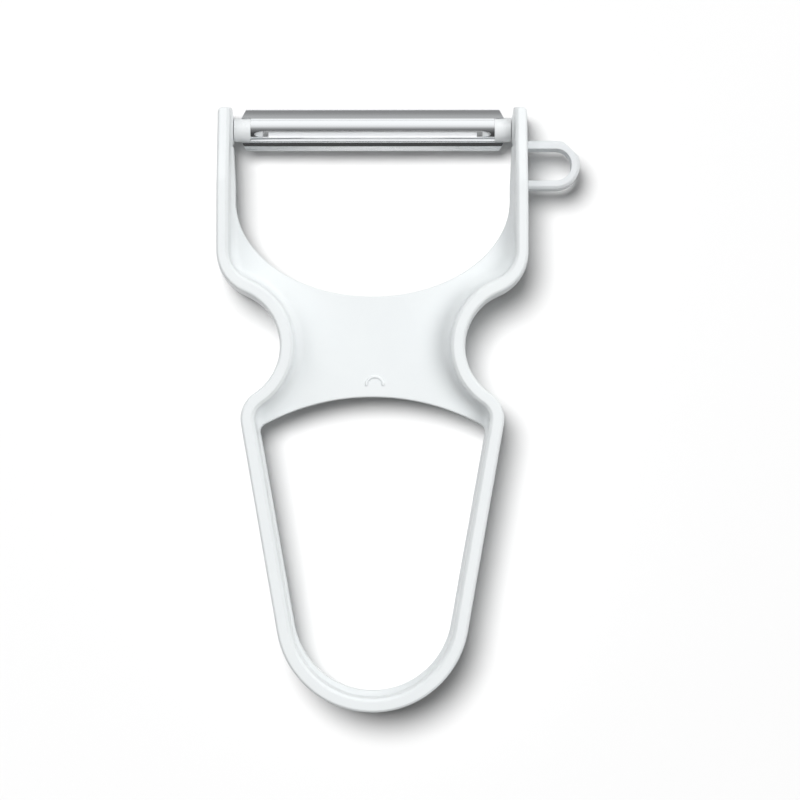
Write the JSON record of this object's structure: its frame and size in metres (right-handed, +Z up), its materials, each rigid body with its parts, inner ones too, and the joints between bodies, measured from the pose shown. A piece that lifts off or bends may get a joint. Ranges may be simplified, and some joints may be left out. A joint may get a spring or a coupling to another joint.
{
  "type": "vegetable peeler",
  "caption": "Wide-forked vegetable peeler with a swivelling, slotted steel blade, an eye remover on one arm and a finger-loop handle.",
  "frame": {"origin": "under the middle of the peeler's box, on the surface it lies on", "axes": "+Z up from the surface the peeler lies on, +Y along the peeler from the finger loop to the blade, +X across it towards the eye remover"},
  "size_m": [0.0654, 0.1086, 0.012],
  "materials": {
    "handle_plastic": "white moulded plastic, satin-gloss",
    "eye_plastic": "white moulded plastic, satin-gloss, ground edges",
    "blade_steel": "polished stainless strip steel with a ground cutting lip",
    "plug_plastic": "white moulded plastic, smooth"
  },
  "bodies": {
    "frame": {"handle_frame": "handle_plastic", "eye_remover": "eye_plastic"},
    "blade": {"peeling_blade": "blade_steel", "pivot_plug_left": "plug_plastic", "pivot_plug_right": "plug_plastic"}
  },
  "joints": [
    {"name": "blade_swivel", "type": "hinge", "parent": "frame", "child": "blade", "pos_m": [-0.0046, 0.0505, 0.006], "axis": [1, 0, 0], "continuous": true}
  ]
}
